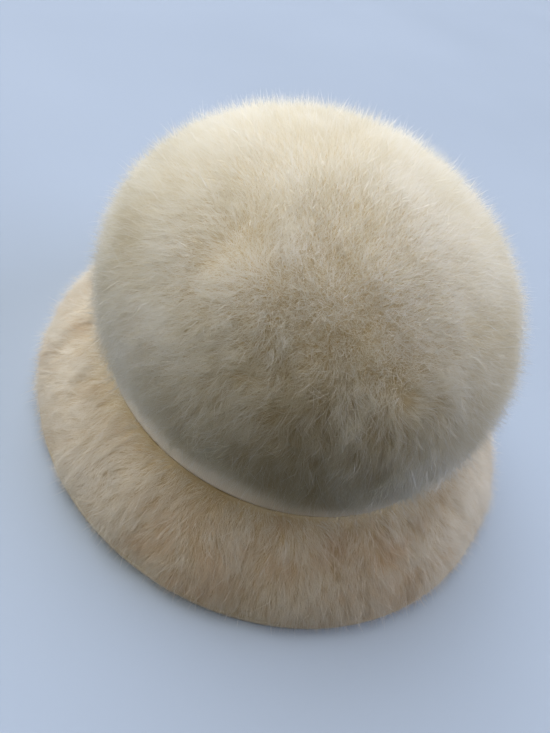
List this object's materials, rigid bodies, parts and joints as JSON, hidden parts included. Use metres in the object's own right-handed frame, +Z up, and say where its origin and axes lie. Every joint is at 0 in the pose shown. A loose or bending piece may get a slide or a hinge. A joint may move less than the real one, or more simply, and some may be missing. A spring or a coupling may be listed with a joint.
{
  "type": "fur felt hat",
  "caption": "Long-napped fur felt hat with a domed hollow crown, a smooth ribbon round its foot and a brim that slopes down all round.",
  "frame": {"origin": "on the ground under the middle of the crown", "axes": "+Z up, the front towards -Y, the head's long axis along Y"},
  "size_m": [0.2562, 0.2749, 0.154],
  "materials": {
    "crown_nap": "long brushed fur nap, matt",
    "ribbon": "fine ribbed ribbon, soft sheen",
    "brim_nap": "brushed fur nap, matt"
  },
  "bodies": {
    "root": {"crown": "crown_nap", "ribbon": "ribbon", "brim": "brim_nap"}
  },
  "joints": []
}
